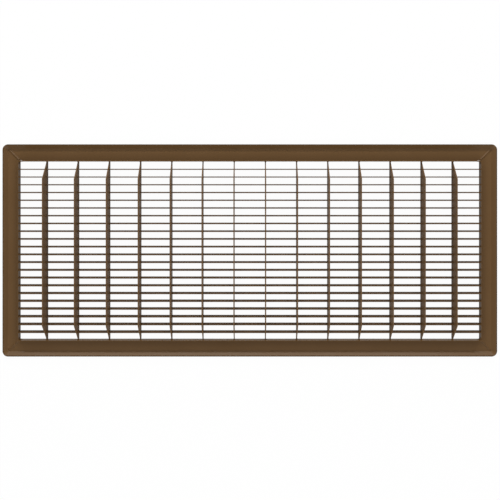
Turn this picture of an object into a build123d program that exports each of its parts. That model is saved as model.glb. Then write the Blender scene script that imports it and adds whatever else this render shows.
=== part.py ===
from build123d import *
from math import atan, sin
import os

# Floor return air grille, in millimetres. It lies on its walking face, as it comes
# to rest: the frame's ridge is at Z = 0 and the support bars stand up. X runs along
# the frame.

# Frame, drawn from one sheet: rim, bevel, ridge, then a face that dips towards the window.
# The border runs from the rim to the window.
frame_length = 804.0
frame_width = 345.0
border = 28.0
sheet = 1.2
rim_height = 6.4
rim_corner_radius = 9.0
bevel_run = 6.8
ridge_corner_radius = 3.2
ridge_bend_radius = 1.5
face_drop = 1.4

# Window, with a flange bent up along each side that stops short of the corners
window_corner_radius = 0.5
flange_depth = 10.2
flange_bend_radius = 0.8
corner_relief = 2.2

# Fins, along the frame
fin_count = 22
fin_thickness = 1.5
fin_depth = 9.5
tenon_depth = 4.0
tenon_reach = 1.4

# Support bars, across the frame, as many as the window takes at their pitch
bar_pitch = 50.8
bar_thickness = 1.5
bar_web = 12.7
bar_end_height = 3.5
bar_taper_run = 27.2

# Fits
core_recess = 0.3
slot_clearance = 0.1
end_clearance = 0.15

# Derived sizes and places
window_length = frame_length - 2 * border
window_width = frame_width - 2 * border
ridge_length = frame_length - 2 * bevel_run
ridge_width = frame_width - 2 * bevel_run
bevel_slope = rim_height / bevel_run
bevel_wall = sheet / sin(atan(bevel_slope))
face_slope = face_drop / (border - bevel_run)
foot_level = (sheet + face_slope * bevel_wall) / (1 + face_slope / bevel_slope)
foot_inset = bevel_wall - foot_level / bevel_slope
flange_bend = flange_bend_radius + sheet
bend_level = face_drop - face_slope * flange_bend
flange_top = face_drop + flange_depth
fin_pitch = window_width / (fin_count + 1)
fin_slot = fin_thickness + 2 * slot_clearance
fin_length = window_length - 2 * end_clearance
tenon_length = window_length + 2 * (sheet + tenon_reach)
tenon_middle = (bend_level + flange_bend + flange_top) / 2
core_base = face_drop + core_recess
fin_middle = core_base + fin_depth / 2
bar_count = int(window_length // bar_pitch)
bar_length = window_width - 2 * end_clearance
bar_top = core_base + fin_depth + bar_web

os.makedirs("parts", exist_ok=True)

# Frame: a shallow pan with a sloping floor, open at the flanged window
with BuildPart() as frame:
    # Outer form, from the ridge to the rim
    with BuildSketch(Plane.XY):
        RectangleRounded(ridge_length, ridge_width, ridge_corner_radius)
    with BuildSketch(Plane.XY.offset(rim_height)):
        RectangleRounded(frame_length, frame_width, rim_corner_radius)
    loft()

    # Inside of the bevel, down to its foot
    foot_length = ridge_length - 2 * foot_inset
    foot_width = ridge_width - 2 * foot_inset
    foot_corner_radius = ridge_corner_radius - foot_inset
    with BuildSketch(Plane.XY.offset(foot_level)):
        RectangleRounded(foot_length, foot_width, foot_corner_radius)
    with BuildSketch(Plane.XY.offset(rim_height)):
        RectangleRounded(
            frame_length - 2 * bevel_wall, frame_width - 2 * bevel_wall, rim_corner_radius - bevel_wall
        )
    loft(mode=Mode.SUBTRACT)

    # Sloping face, one sheet thick
    with BuildSketch(Plane.XY.offset(foot_level)):
        RectangleRounded(foot_length, foot_width, foot_corner_radius)
    with BuildSketch(Plane.XY.offset(face_drop + sheet)):
        RectangleRounded(window_length, window_width, window_corner_radius)
    loft()
    with BuildSketch(Plane.XY):
        RectangleRounded(ridge_length, ridge_width, ridge_corner_radius)
    with BuildSketch(Plane.XY.offset(face_drop)):
        RectangleRounded(window_length, window_width, window_corner_radius)
    loft(mode=Mode.SUBTRACT)

    # Bend along the ridge, outside and inside
    fillet(frame.edges().group_by(Axis.Z)[0], ridge_bend_radius + sheet)
    fillet(frame.edges().filter_by_position(Axis.Z, foot_level, foot_level), ridge_bend_radius)

    # Window, and the flanges bent up round it
    with BuildSketch(Plane.XY):
        Rectangle(window_length + 2 * flange_bend, window_width + 2 * flange_bend)
    extrude(amount=flange_top, mode=Mode.SUBTRACT)
    for plane, reach, length in (
        (Plane.XZ, window_length / 2, window_width - 2 * corner_relief),
        (Plane.YZ, window_width / 2, window_length - 2 * corner_relief),
    ):
        with BuildSketch(plane):
            with BuildLine():
                bend = JernArc((reach + flange_bend, bend_level), (-1, 0), flange_bend, -90)
                Line(bend @ 1, (reach, flange_top))
                offset(amount=sheet, side=Side.RIGHT)
            make_face()
            mirror(about=Plane.YZ)
        extrude(amount=length / 2, both=True)

    # Slots through the end flanges, for the fins' tenons
    with BuildSketch(Plane.XY.offset(tenon_middle)):
        with GridLocations(window_length + sheet, fin_pitch, 2, fin_count):
            Rectangle(2 * flange_bend, fin_slot)
    extrude(amount=tenon_depth / 2 + slot_clearance, both=True, mode=Mode.SUBTRACT)
frame.part.label = "frame"
export_step(frame.part, "parts/frame.step")


# Fins: flat strips on edge, with a tenon at each end through the flange
fin_places = GridLocations(0, fin_pitch, 1, fin_count).locations
for number, place in enumerate(fin_places, start=1):
    with BuildPart() as fin:
        with BuildSketch(Plane.XZ.offset(-place.position.Y)):
            with Locations((0, fin_middle)):
                Rectangle(fin_length, fin_depth)
            with Locations((0, tenon_middle)):
                Rectangle(tenon_length, tenon_depth)
        extrude(amount=fin_thickness / 2, both=True)
    fin.part.label = f"fin_{number:02d}"
    export_step(fin.part, f"parts/fin_{number:02d}.step")


# Support bars: deeper strips with tapered ends, slotted from the face for the fins
bar_places = GridLocations(bar_pitch, 0, bar_count, 1).locations
for number, place in enumerate(bar_places, start=1):
    with BuildPart() as bar:
        with BuildSketch(Plane.YZ.offset(place.position.X)):
            with BuildLine():
                Polyline(
                    (0, core_base),
                    (bar_length / 2, core_base),
                    (bar_length / 2, core_base + bar_end_height),
                    (bar_length / 2 - bar_taper_run, bar_top),
                    (0, bar_top),
                )
                mirror(about=Plane.YZ)
            make_face()
            with Locations((0, fin_middle)):
                with GridLocations(fin_pitch, 0, fin_count, 1):
                    Rectangle(fin_slot, fin_depth, mode=Mode.SUBTRACT)
        extrude(amount=bar_thickness / 2, both=True)
    bar.part.label = f"bar_{number:02d}"
    export_step(bar.part, f"parts/bar_{number:02d}.step")
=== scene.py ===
from math import sqrt, tau

import bpy
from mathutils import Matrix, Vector


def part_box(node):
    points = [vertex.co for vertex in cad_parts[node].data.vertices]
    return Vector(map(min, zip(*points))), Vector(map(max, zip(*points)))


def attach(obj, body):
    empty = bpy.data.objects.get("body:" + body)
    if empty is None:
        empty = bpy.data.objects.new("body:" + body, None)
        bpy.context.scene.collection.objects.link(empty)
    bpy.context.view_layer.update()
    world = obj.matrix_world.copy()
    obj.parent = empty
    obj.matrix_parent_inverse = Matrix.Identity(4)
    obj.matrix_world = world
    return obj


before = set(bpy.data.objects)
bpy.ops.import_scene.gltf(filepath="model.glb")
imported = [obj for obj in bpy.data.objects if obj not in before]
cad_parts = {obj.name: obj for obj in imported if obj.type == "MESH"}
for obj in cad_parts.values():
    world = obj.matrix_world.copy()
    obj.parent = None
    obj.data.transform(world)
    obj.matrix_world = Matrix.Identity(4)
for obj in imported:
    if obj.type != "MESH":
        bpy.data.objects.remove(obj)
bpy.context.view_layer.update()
print("frame loaded:", len(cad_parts), "nodes")

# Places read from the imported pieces, in metres
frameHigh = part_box("frame")[1]
finNames = sorted(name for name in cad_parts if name.startswith("fin_"))
barNames = sorted(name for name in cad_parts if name.startswith("bar_"))


def middleOf(name):
    low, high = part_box(name)
    return (low + high) / 2


def pitchOf(names, axis):
    span = middleOf(names[-1])[axis] - middleOf(names[0])[axis]
    return span / (len(names) - 1)


# Node helpers, shared by the materials and the Geometry Nodes trees

def addNode(tree, kind, values=None, **settings):
    node = tree.nodes.new(kind)
    for name, value in settings.items():
        setattr(node, name, value)
    for name, value in (values or {}).items():
        node.inputs[name].default_value = value
    return node


def addSockets(tree, way, kind, *names):
    for name in names:
        tree.interface.new_socket(name=name, in_out=way, socket_type=kind)


def join(tree, source, target):
    tree.links.new(source, target)


def calculate(tree, operation, *terms):
    node = addNode(tree, "ShaderNodeMath", operation=operation)
    for term, socket in zip(terms, node.inputs):
        if isinstance(term, (int, float)):
            socket.default_value = term
        else:
            join(tree, term, socket)
    return node.outputs[0]


def splitVector(tree, vector):
    node = addNode(tree, "ShaderNodeSeparateXYZ")
    join(tree, vector, node.inputs["Vector"])
    return node.outputs


def makeVector(tree, **axes):
    node = addNode(tree, "ShaderNodeCombineXYZ")
    for axis, source in axes.items():
        join(tree, source, node.inputs[axis])
    return node.outputs["Vector"]


# Baked enamel, shared by the three paints: colour drift, orange peel and uneven gloss
enamelFilm = {
    "driftScale": 14.0,      # slow drift of the film's thickness
    "driftDetail": 3.0,
    "fleckScale": 900.0,     # fine fleck added to the drift
    "fleckDetail": 2.0,
    "fleckShare": 0.35,
    "fullFilm": 0.4,         # what drift and fleck come to, from a full film to a thin one
    "thinFilm": 0.95,
    "peelDetail": 1.5,
    "peelRoughness": 0.4,
}


def makeEnamelGroup(film):
    group = bpy.data.node_groups.new("bakedEnamel", "ShaderNodeTree")
    addSockets(group, "INPUT", "NodeSocketColor", "Paint", "Thin Paint")
    addSockets(group, "INPUT", "NodeSocketFloat", "Drift", "Gloss Low", "Gloss High", "Peel Scale")
    addSockets(group, "OUTPUT", "NodeSocketColor", "Colour")
    addSockets(group, "OUTPUT", "NodeSocketFloat", "Roughness", "Peel")
    start = addNode(group, "NodeGroupInput").outputs
    end = addNode(group, "NodeGroupOutput").inputs
    place = addNode(group, "ShaderNodeTexCoord").outputs["Object"]

    def addNoise(values):
        noise = addNode(group, "ShaderNodeTexNoise", values)
        join(group, place, noise.inputs["Vector"])
        return noise

    # Thickness of the film, and the colour that follows it
    drift = addNoise({"Scale": film["driftScale"], "Detail": film["driftDetail"]})
    fleck = addNoise({"Scale": film["fleckScale"], "Detail": film["fleckDetail"]})
    both = calculate(group, "MULTIPLY_ADD", fleck.outputs["Fac"], film["fleckShare"], drift.outputs["Fac"])
    limits = {"From Min": film["fullFilm"], "From Max": film["thinFilm"]}
    thinness = addNode(group, "ShaderNodeMapRange", limits)
    join(group, both, thinness.inputs["Value"])
    tint = addNode(group, "ShaderNodeMix", data_type="RGBA")
    amount = calculate(group, "MULTIPLY", thinness.outputs["Result"], start["Drift"])
    join(group, amount, tint.inputs["Factor"])
    join(group, start["Paint"], tint.inputs["A"])
    join(group, start["Thin Paint"], tint.inputs["B"])
    join(group, tint.outputs["Result"], end["Colour"])

    # Gloss follows the film
    gloss = addNode(group, "ShaderNodeMapRange")
    join(group, thinness.outputs["Result"], gloss.inputs["Value"])
    join(group, start["Gloss Low"], gloss.inputs["To Min"])
    join(group, start["Gloss High"], gloss.inputs["To Max"])
    join(group, gloss.outputs["Result"], end["Roughness"])

    # Orange peel of the sprayed and baked coat
    peel = addNoise({"Detail": film["peelDetail"], "Roughness": film["peelRoughness"]})
    join(group, start["Peel Scale"], peel.inputs["Scale"])
    join(group, peel.outputs["Fac"], end["Peel"])
    return group


enamelGroup = makeEnamelGroup(enamelFilm)


# Pressed face of the frame: masks of painted shade, darkest at the window's edge and fading out across the
# face, and of a painted dark band on the rim's cut edge

def makeFaceGroup():
    group = bpy.data.node_groups.new("pressedFace", "ShaderNodeTree")
    lengths = ("Half Length", "Half Width", "Face Width", "Rim Start")
    addSockets(group, "INPUT", "NodeSocketFloat", *lengths)
    addSockets(group, "OUTPUT", "NodeSocketFloat", "Window Shade", "Rim Shade")
    start = addNode(group, "NodeGroupInput").outputs
    end = addNode(group, "NodeGroupOutput").inputs
    place = splitVector(group, addNode(group, "ShaderNodeTexCoord").outputs["Object"])

    # Distance out from the window's edge, the larger of along and across
    beyond = []
    for axis, half in (("X", "Half Length"), ("Y", "Half Width")):
        fromMiddle = calculate(group, "ABSOLUTE", place[axis])
        beyond.append(calculate(group, "SUBTRACT", fromMiddle, start[half]))
    farther = calculate(group, "MAXIMUM", *beyond)
    # Painted shade near the window: full at the window's edge, none beyond the face's width
    fading = {"To Min": 1.0, "To Max": 0.0}
    windowShade = addNode(group, "ShaderNodeMapRange", fading, interpolation_type="SMOOTHSTEP")
    join(group, farther, windowShade.inputs["Value"])
    join(group, start["Face Width"], windowShade.inputs["From Max"])
    join(group, windowShade.outputs["Result"], end["Window Shade"])
    # Painted shade on the rim's cut edge, beyond Rim Start
    join(group, calculate(group, "GREATER_THAN", farther, start["Rim Start"]), end["Rim Shade"])
    return group


def makePaint(name, look):
    material = bpy.data.materials.new(name)
    material.use_nodes = True
    tree = material.node_tree
    shader = tree.nodes["Principled BSDF"].inputs
    shader["IOR"].default_value = look["ior"]
    shader["Specular IOR Level"].default_value = look["specular"]
    values = {
        "Paint": (*look["paint"], 1),
        "Thin Paint": (*look["thinPaint"], 1),
        "Drift": look["drift"],
        "Gloss Low": look["gloss"][0],
        "Gloss High": look["gloss"][1],
        "Peel Scale": look["peelScale"],
    }
    enamel = addNode(tree, "ShaderNodeGroup", values, node_tree=enamelGroup).outputs
    depth = {"Strength": look["peelStrength"], "Distance": look["peelDepth"]}
    bump = addNode(tree, "ShaderNodeBump", depth)
    join(tree, enamel["Colour"], shader["Base Color"])
    join(tree, enamel["Roughness"], shader["Roughness"])
    join(tree, enamel["Peel"], bump.inputs["Height"])
    join(tree, bump.outputs["Normal"], shader["Normal"])
    return material


def addPressedFace(material, look):
    tree = material.node_tree
    base = tree.nodes["Principled BSDF"].inputs["Base Color"]
    values = {
        "Half Length": frameHigh.x - look["border"],
        "Half Width": frameHigh.y - look["border"],
        "Face Width": look["faceWidth"],
        "Rim Start": look["rimStart"],
    }
    face = addNode(tree, "ShaderNodeGroup", values, node_tree=makeFaceGroup()).outputs
    colour = base.links[0].from_socket
    # The frame's colour takes the painted shade near the window, then the painted dark band on the rim's
    # edge
    for mask, share, paint in (("Window Shade", "windowShade", "windowShadePaint"), ("Rim Shade", "rimShade", "rimShadePaint")):
        tinted = addNode(tree, "ShaderNodeMix", data_type="RGBA")
        tinted.inputs["B"].default_value = (*look[paint], 1)
        join(tree, calculate(tree, "MULTIPLY", face[mask], look[share]), tinted.inputs["Factor"])
        join(tree, colour, tinted.inputs["A"])
        colour = tinted.outputs["Result"]
    join(tree, colour, base)


framePaintLook = {
    "paint": (0.114, 0.0605, 0.0215),
    "thinPaint": (0.15, 0.085, 0.038),
    "drift": 0.35,
    "gloss": (0.27, 0.36),
    "ior": 1.45,
    "specular": 0.14,
    "peelScale": 650.0,
    "peelStrength": 0.3,
    "peelDepth": 0.0001,
}
pressedFaceLook = {
    "border": 0.028,         # from the rim to the window
    "faceWidth": 0.021,      # from the window to the bevel
    # Painted shade near the window: its share and its colour
    "windowShade": 0.55,
    "windowShadePaint": (0.08, 0.04, 0.012),
    "rimStart": 0.0264,      # from the window to the rim's cut edge
    # Painted dark band on the rim's cut edge: its share and its colour
    "rimShade": 1.0,
    "rimShadePaint": (0.06, 0.032, 0.013),
}
# The fins' enamel is darker than the frame's: painted shade on the fins
finPaintLook = dict(framePaintLook, paint=(0.074, 0.041, 0.0175), gloss=(0.5, 0.6), specular=0.03)
barPaintLook = dict(framePaintLook, paint=(0.122, 0.067, 0.027), gloss=(0.46, 0.56), specular=0.08)
framePaint = makePaint("brownEnamelFrame", framePaintLook)
addPressedFace(framePaint, pressedFaceLook)
finPaint = makePaint("brownEnamelFins", finPaintLook)
barPaint = makePaint("brownEnamelBars", barPaintLook)

paints = {"frame": framePaint, "fin": finPaint, "bar": barPaint}
for nodeName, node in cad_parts.items():
    node.data.materials.clear()
    node.data.materials.append(paints[nodeName.split("_")[0]])
print("paint on", len(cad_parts), "pieces")


# Small pieces, each from a Geometry Nodes tree turned into a plain mesh
unitHalf = 0.5               # half of a ball or block of unit size


def startTree(name):
    tree = bpy.data.node_groups.new(name, "GeometryNodeTree")
    addSockets(tree, "INPUT", "NodeSocketGeometry", "Geometry")
    addSockets(tree, "INPUT", "NodeSocketMaterial", "Paint")
    addSockets(tree, "OUTPUT", "NodeSocketGeometry", "Geometry")
    return tree


def addStep(tree, kind, geometry, **sources):
    node = addNode(tree, kind)
    join(tree, geometry, node.inputs["Geometry"])
    for name, source in sources.items():
        join(tree, source, node.inputs[name])
    return node.outputs["Geometry"]


def endTree(tree, geometry, paint):
    painted = addStep(tree, "GeometryNodeSetMaterial", geometry, Material=paint)
    join(tree, painted, addNode(tree, "NodeGroupOutput").inputs["Geometry"])


def addPlace(tree):
    return addNode(tree, "GeometryNodeInputPosition").outputs["Position"]


def addBlock(tree, points):
    block = addNode(tree, "GeometryNodeMeshCube")
    block.inputs["Size"].default_value = (2 * unitHalf, 2 * unitHalf, 2 * unitHalf)
    for axis, count in zip("XYZ", points):
        block.inputs["Vertices " + axis].default_value = count
    return block.outputs["Mesh"]


def makePiece(name, tree, values):
    holder = bpy.data.objects.new(name + "Holder", bpy.data.meshes.new(name + "Seed"))
    bpy.context.scene.collection.objects.link(holder)
    modifier = holder.modifiers.new(name, "NODES")
    modifier.node_group = tree
    for item in tree.interface.items_tree:
        if item.in_out == "INPUT" and item.name in values:
            modifier[item.identifier] = values[item.name]
    depsgraph = bpy.context.evaluated_depsgraph_get()
    mesh = bpy.data.meshes.new_from_object(holder.evaluated_get(depsgraph))
    holder.modifiers.remove(modifier)
    bpy.data.objects.remove(holder)
    piece = bpy.data.objects.new(name, mesh)
    bpy.context.scene.collection.objects.link(piece)
    return piece


# What repeats in rows along two opposite sides of the window, with a lumpy surface
rowSurface = {
    "scale": 700.0,
    "detail": 2.0,
    "middle": 0.5,           # of the noise, so that as much is raised as sunk
    "depth": 0.0006,
}


def rowTree(name, makeShape):
    tree = startTree(name)
    addSockets(tree, "INPUT", "NodeSocketInt", "Count", "Seed")
    addSockets(tree, "INPUT", "NodeSocketVector", "First", "Step", "Mirror", "Size")
    addSockets(tree, "INPUT", "NodeSocketFloat", "Unevenness")
    start = addNode(tree, "NodeGroupInput").outputs

    # One row, and the same row mirrored to the opposite side of the window
    rows = addNode(tree, "GeometryNodeJoinGeometry")
    opposite = addNode(tree, "ShaderNodeVectorMath", operation="MULTIPLY")
    join(tree, start["First"], opposite.inputs[0])
    join(tree, start["Mirror"], opposite.inputs[1])
    for first in (start["First"], opposite.outputs["Vector"]):
        line = addNode(tree, "GeometryNodeMeshLine", mode="OFFSET")
        join(tree, start["Count"], line.inputs["Count"])
        join(tree, start["Step"], line.inputs["Offset"])
        join(tree, first, line.inputs["Start Location"])
        join(tree, line.outputs["Mesh"], rows.inputs["Geometry"])

    # Each copy gets its own share of the size: inputs 2 and 3 are the least and the largest
    share = addNode(tree, "FunctionNodeRandomValue", {3: 1.0}, data_type="FLOAT")
    join(tree, calculate(tree, "SUBTRACT", 1, start["Unevenness"]), share.inputs[2])
    join(tree, start["Seed"], share.inputs["Seed"])
    scale = addNode(tree, "ShaderNodeVectorMath", operation="SCALE")
    join(tree, start["Size"], scale.inputs[0])
    join(tree, share.outputs[1], scale.inputs["Scale"])
    put = addNode(tree, "GeometryNodeInstanceOnPoints")
    join(tree, rows.outputs["Geometry"], put.inputs["Points"])
    join(tree, makeShape(tree), put.inputs["Instance"])
    join(tree, scale.outputs["Vector"], put.inputs["Scale"])
    whole = addStep(tree, "GeometryNodeRealizeInstances", put.outputs["Instances"])

    # Lumps, different on each copy
    values = {"Scale": rowSurface["scale"], "Detail": rowSurface["detail"]}
    noise = addNode(tree, "ShaderNodeTexNoise", values)
    join(tree, addPlace(tree), noise.inputs["Vector"])
    centred = calculate(tree, "SUBTRACT", noise.outputs["Fac"], rowSurface["middle"])
    push = addNode(tree, "ShaderNodeVectorMath", operation="SCALE")
    join(tree, addNode(tree, "GeometryNodeInputNormal").outputs["Normal"], push.inputs[0])
    join(tree, calculate(tree, "MULTIPLY", centred, rowSurface["depth"]), push.inputs["Scale"])
    lumpy = addStep(tree, "GeometryNodeSetPosition", whole, Offset=push.outputs["Vector"])
    endTree(tree, addStep(tree, "GeometryNodeSetShadeSmooth", lumpy), start["Paint"])
    return tree


# Tack welds where the bars' ends meet the side flanges
barTacks = {
    "size": (0.0034, 0.002, 0.0024),
    "level": 0.0054,         # top of a bar's end, above the floor
    "inset": 0.0003,         # from the bar's end towards the window
    "unevenness": 0.25,
    "seed": 4,
    "subdivisions": 3,
}


def tackShape(tree):
    values = {"Radius": unitHalf, "Subdivisions": barTacks["subdivisions"]}
    return addNode(tree, "GeometryNodeMeshIcoSphere", values).outputs["Mesh"]


firstBar = middleOf(barNames[0])
tackRow = makePiece("barTackWelds", rowTree("barTackRow", tackShape), {
    "Count": len(barNames),
    "First": (firstBar.x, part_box(barNames[0])[1].y - barTacks["inset"], barTacks["level"]),
    "Step": (pitchOf(barNames, 0), 0, 0),
    "Mirror": (1, -1, 1),
    "Size": barTacks["size"],
    "Unevenness": barTacks["unevenness"],
    "Seed": barTacks["seed"],
    "Paint": barPaint,
})
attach(tackRow, "root")
print("tack welds:", 2 * len(barNames))

# Staked heads of the fins' tenons, outside the end flanges
tenonHeads = {
    "size": (0.0016, 0.0028, 0.0050),
    "inset": 0.0006,         # from the tenon's end to the head's middle
    "level": 0.00743,        # middle of the tenons, above the floor
    "unevenness": 0.12,
    "seed": 9,
    "points": (3, 3, 3),     # of the block that is rounded to a head
    "rounding": 1,
}


def headShape(tree):
    rounded = addNode(tree, "GeometryNodeSubdivisionSurface", {"Level": tenonHeads["rounding"]})
    join(tree, addBlock(tree, tenonHeads["points"]), rounded.inputs["Mesh"])
    return rounded.outputs["Mesh"]


firstFin = middleOf(finNames[0])
headRow = makePiece("finTenonHeads", rowTree("tenonHeadRow", headShape), {
    "Count": len(finNames),
    "First": (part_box(finNames[0])[1].x - tenonHeads["inset"], firstFin.y, tenonHeads["level"]),
    "Step": (0, pitchOf(finNames, 1), 0),
    "Mirror": (-1, 1, 1),
    "Size": tenonHeads["size"],
    "Unevenness": tenonHeads["unevenness"],
    "Seed": tenonHeads["seed"],
    "Paint": finPaint,
})
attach(headRow, "root")
print("tenon heads:", 2 * len(finNames))


# What repeats at the four corners, made once with its X axis outwards along the mitre

def cornerTree(name, lengths, makeShape):
    tree = startTree(name)
    addSockets(tree, "INPUT", "NodeSocketVector", "Middle")
    addSockets(tree, "INPUT", "NodeSocketFloat", "Tilt", *lengths)
    start = addNode(tree, "NodeGroupInput").outputs

    # A grid of four points, and the turn that each corner needs
    middle = splitVector(tree, start["Middle"])
    corners = addNode(tree, "GeometryNodeMeshGrid", {"Vertices X": 2, "Vertices Y": 2})
    for axis in "XY":
        join(tree, calculate(tree, "MULTIPLY", middle[axis], 2), corners.inputs["Size " + axis])
    quarter = addNode(tree, "ShaderNodeVectorMath", operation="SIGN")
    join(tree, addPlace(tree), quarter.inputs[0])
    side = splitVector(tree, quarter.outputs["Vector"])
    outwards = calculate(tree, "ARCTAN2", side["Y"], side["X"])
    turn = addNode(tree, "FunctionNodeEulerToRotation")
    join(tree, makeVector(tree, Y=start["Tilt"], Z=outwards), turn.inputs["Euler"])

    put = addNode(tree, "GeometryNodeInstanceOnPoints")
    join(tree, corners.outputs["Mesh"], put.inputs["Points"])
    join(tree, makeShape(tree, start), put.inputs["Instance"])
    join(tree, turn.outputs["Rotation"], put.inputs["Rotation"])
    lift = makeVector(tree, Z=middle["Z"])
    raised = addStep(tree, "GeometryNodeTransform", put.outputs["Instances"], Translation=lift)
    endTree(tree, addStep(tree, "GeometryNodeRealizeInstances", raised), start["Paint"])
    return tree


def cornerPoint(inset, level):
    return Vector((frameHigh.x - inset, frameHigh.y - inset, level))


# Raised creases along the mitres of the frame's face, from the window's corners to the bevel
mitreCreases = {
    "startInset": 0.0258,    # from the rim to a crease's two ends
    "endInset": 0.0074,
    "startLevel": 0.00244,   # face under the two ends, above the floor
    "endLevel": 0.00118,
    "width": 0.0036,
    "height": 0.00095,
    "sunk": 0.0003,          # into the face
    "fade": 0.0015,          # from full height to nothing at each end
    "points": (29, 11, 2),   # along, across and up
}


def creaseShape(tree, lengths):
    unit = splitVector(tree, addPlace(tree))
    onTop = calculate(tree, "GREATER_THAN", unit["Z"], unitHalf / 2)
    block = addBlock(tree, mitreCreases["points"])
    smooth = addStep(tree, "GeometryNodeSetShadeSmooth", block, Selection=onTop)

    # Rounded across, and fading at both ends
    fromSide = calculate(tree, "SUBTRACT", unitHalf, calculate(tree, "ABSOLUTE", unit["Y"]))
    across = addNode(tree, "ShaderNodeMapRange", {"From Max": unitHalf}, interpolation_type="SMOOTHSTEP")
    join(tree, fromSide, across.inputs["Value"])
    fromEnd = calculate(tree, "SUBTRACT", unitHalf, calculate(tree, "ABSOLUTE", unit["X"]))
    along = addNode(tree, "ShaderNodeMapRange", interpolation_type="SMOOTHSTEP")
    join(tree, calculate(tree, "MULTIPLY", fromEnd, lengths["Length"]), along.inputs["Value"])
    join(tree, lengths["Fade"], along.inputs["From Max"])
    profile = calculate(tree, "MULTIPLY", across.outputs["Result"], along.outputs["Result"])
    level = addNode(tree, "GeometryNodeSwitch", input_type="FLOAT")
    join(tree, onTop, level.inputs["Switch"])
    join(tree, calculate(tree, "MULTIPLY", lengths["Sunk"], -1), level.inputs["False"])
    join(tree, calculate(tree, "MULTIPLY", profile, lengths["Height"]), level.inputs["True"])
    x = calculate(tree, "MULTIPLY", unit["X"], lengths["Length"])
    y = calculate(tree, "MULTIPLY", unit["Y"], lengths["Width"])
    shaped = makeVector(tree, X=x, Y=y, Z=level.outputs["Output"])
    return addStep(tree, "GeometryNodeSetPosition", smooth, Position=shaped)


creaseInner = cornerPoint(mitreCreases["startInset"], mitreCreases["startLevel"])
creaseOuter = cornerPoint(mitreCreases["endInset"], mitreCreases["endLevel"])
creaseLine = creaseOuter - creaseInner
creaseLengths = ("Length", "Width", "Height", "Sunk", "Fade")
creases = makePiece("mitreCreases", cornerTree("mitreCreaseLines", creaseLengths, creaseShape), {
    "Middle": (creaseInner + creaseOuter) / 2,
    "Tilt": creaseLine.angle(Vector((creaseLine.x, creaseLine.y, 0))),
    "Length": creaseLine.length,
    "Width": mitreCreases["width"],
    "Height": mitreCreases["height"],
    "Sunk": mitreCreases["sunk"],
    "Fade": mitreCreases["fade"],
    "Paint": framePaint,
})
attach(creases, "root")
print("mitre creases laid")

# Weld seams that close the flanges' corners, between the ends of two flanges
cornerSeams = {
    "inset": 0.0272,         # from the rim to the middle of a seam
    "level": 0.0074,         # middle of a seam, above the floor
    "height": 0.0082,
    "span": 0.0052,          # between a seam's two ends, across the mitre
    "wall": 0.0018,
    "round": 0.0003,
    "ripples": 9,
    "rippleDepth": 0.00025,
    "points": (2, 17, 55),   # through the wall, across the mitre and up
}


def seamShape(tree, lengths):
    unit = splitVector(tree, addPlace(tree))
    y = calculate(tree, "MULTIPLY", unit["Y"], lengths["Span"])
    z = calculate(tree, "MULTIPLY", unit["Z"], lengths["Height"])

    # An angle with a rounded tip, at 45 degrees to both sides of the mitre
    tip = calculate(tree, "MULTIPLY", lengths["Round"], lengths["Round"])
    bend = calculate(tree, "SQRT", calculate(tree, "MULTIPLY_ADD", y, y, tip))
    wave = calculate(tree, "SINE", calculate(tree, "MULTIPLY", unit["Z"], lengths["Ripples"]))
    wall = calculate(tree, "MULTIPLY_ADD", wave, lengths["Ripple Depth"], lengths["Wall"])
    x = calculate(tree, "SUBTRACT", calculate(tree, "MULTIPLY", unit["X"], wall), bend)
    block = addBlock(tree, cornerSeams["points"])
    return addStep(tree, "GeometryNodeSetPosition", block, Position=makeVector(tree, X=x, Y=y, Z=z))


seamLengths = ("Height", "Span", "Wall", "Round", "Ripples", "Ripple Depth")
seams = makePiece("cornerWeldSeams", cornerTree("cornerWeldLines", seamLengths, seamShape), {
    "Middle": cornerPoint(cornerSeams["inset"], cornerSeams["level"]),
    "Tilt": 0.0,
    "Height": cornerSeams["height"],
    "Span": cornerSeams["span"],
    "Wall": cornerSeams["wall"] * sqrt(2),       # measured along the mitre
    "Round": cornerSeams["round"],
    "Ripples": cornerSeams["ripples"] * tau,
    "Ripple Depth": cornerSeams["rippleDepth"],
    "Paint": framePaint,
})
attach(seams, "root")
print("corner seams laid")

# White floor: white to the eye and in reflections, plain card to every other ray
floorLook = {
    "size": 30.0,
    "card": (0.82, 0.82, 0.81),
    "white": 1.0,
    "shadow": 0.03,          # how much of the card's own shade the eye sees
}


def seenWhite(tree):
    path = addNode(tree, "ShaderNodeLightPath").outputs
    seen = path["Is Camera Ray"]
    for name in ("Is Glossy Ray", "Is Transmission Ray"):
        seen = calculate(tree, "MAXIMUM", seen, path[name])
    return seen


def makeFloor(look):
    half = look["size"] / 2
    mesh = bpy.data.meshes.new("floorCard")
    corners = [(-half, -half, 0), (half, -half, 0), (half, half, 0), (-half, half, 0)]
    mesh.from_pydata(corners, [], [(0, 1, 2, 3)])
    floor = bpy.data.objects.new("floorCard", mesh)
    bpy.context.scene.collection.objects.link(floor)
    material = bpy.data.materials.new("whiteCard")
    material.use_nodes = True
    tree = material.node_tree
    tree.nodes.remove(tree.nodes["Principled BSDF"])
    card = addNode(tree, "ShaderNodeBsdfDiffuse", {"Color": (*look["card"], 1)})
    glow = addNode(tree, "ShaderNodeEmission", {"Strength": look["white"]})
    mixed = addNode(tree, "ShaderNodeMixShader")
    join(tree, calculate(tree, "MULTIPLY", seenWhite(tree), 1 - look["shadow"]), mixed.inputs["Fac"])
    join(tree, card.outputs["BSDF"], mixed.inputs[1])
    join(tree, glow.outputs["Emission"], mixed.inputs[2])
    join(tree, mixed.outputs["Shader"], tree.nodes["Material Output"].inputs["Surface"])
    mesh.materials.append(material)
    return floor


makeFloor(floorLook)
print("floor laid")

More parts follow.
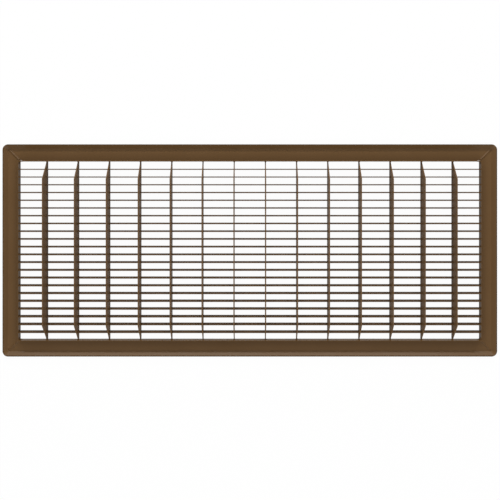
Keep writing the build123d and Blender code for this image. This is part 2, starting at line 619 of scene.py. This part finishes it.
# Even surroundings, white to the eye and in reflections
surroundings = {"colour": (1, 1, 1, 1), "light": 0.58, "white": 1.0}
world = bpy.data.worlds.new("studio")
bpy.context.scene.world = world
world.use_nodes = True
worldTree = world.node_tree
softLight = worldTree.nodes["Background"]
backdrop = addNode(worldTree, "ShaderNodeBackground")
for background, strength in ((softLight, "light"), (backdrop, "white")):
    background.inputs["Color"].default_value = surroundings["colour"]
    background.inputs["Strength"].default_value = surroundings[strength]
worldMix = addNode(worldTree, "ShaderNodeMixShader")
join(worldTree, seenWhite(worldTree), worldMix.inputs["Fac"])
join(worldTree, softLight.outputs["Background"], worldMix.inputs[1])
join(worldTree, backdrop.outputs["Background"], worldMix.inputs[2])
join(worldTree, worldMix.outputs["Shader"], worldTree.nodes["World Output"].inputs["Surface"])

# Long soft boxes turned to the origin: two beyond the far side, a faint one on the near side
lamps = {
    "farBox": {"at": (0.0, 1.74, 0.79), "size": (2.6, 0.25), "watts": 29.0},
    "highBox": {"at": (0.0, 1.5, 1.17), "size": (2.6, 0.6), "watts": 8.0},
    "nearBox": {"at": (0.0, -1.55, 1.1), "size": (2.6, 0.6), "watts": 13.0},
}
for lampName, lamp in lamps.items():
    light = bpy.data.lights.new(lampName, "AREA")
    light.shape = "RECTANGLE"
    light.size, light.size_y = lamp["size"]
    light.energy = lamp["watts"]
    lampObject = bpy.data.objects.new(lampName, light)
    bpy.context.scene.collection.objects.link(lampObject)
    lampObject.location = lamp["at"]
    lampObject.rotation_euler = (-Vector(lamp["at"])).to_track_quat("-Z", "Y").to_euler()
print("lamps lit:", len(lamps))

# Camera straight above, with the lens slid towards the near side as in the photograph
camera = {
    "at": (0.0003, 0.1468, 0.8365),
    "pixelsWide": 500,
    "focalPixels": 510.7,
    "axisRow": 160.15,       # row of the picture that lies straight under the lens
    "sensor": 36.0,          # in millimetres
    "clipStart": 0.01,
}
cameraData = bpy.data.cameras.new("camera")
cameraData.sensor_width = camera["sensor"]
cameraData.lens = camera["focalPixels"] * camera["sensor"] / camera["pixelsWide"]
cameraData.shift_y = (camera["axisRow"] - camera["pixelsWide"] / 2) / camera["pixelsWide"]
cameraData.clip_start = camera["clipStart"]
cameraObject = bpy.data.objects.new("camera", cameraData)
bpy.context.scene.collection.objects.link(cameraObject)
cameraObject.location = camera["at"]
bpy.context.scene.camera = cameraObject
bpy.context.scene.view_settings.view_transform = "Standard"
print("camera set")
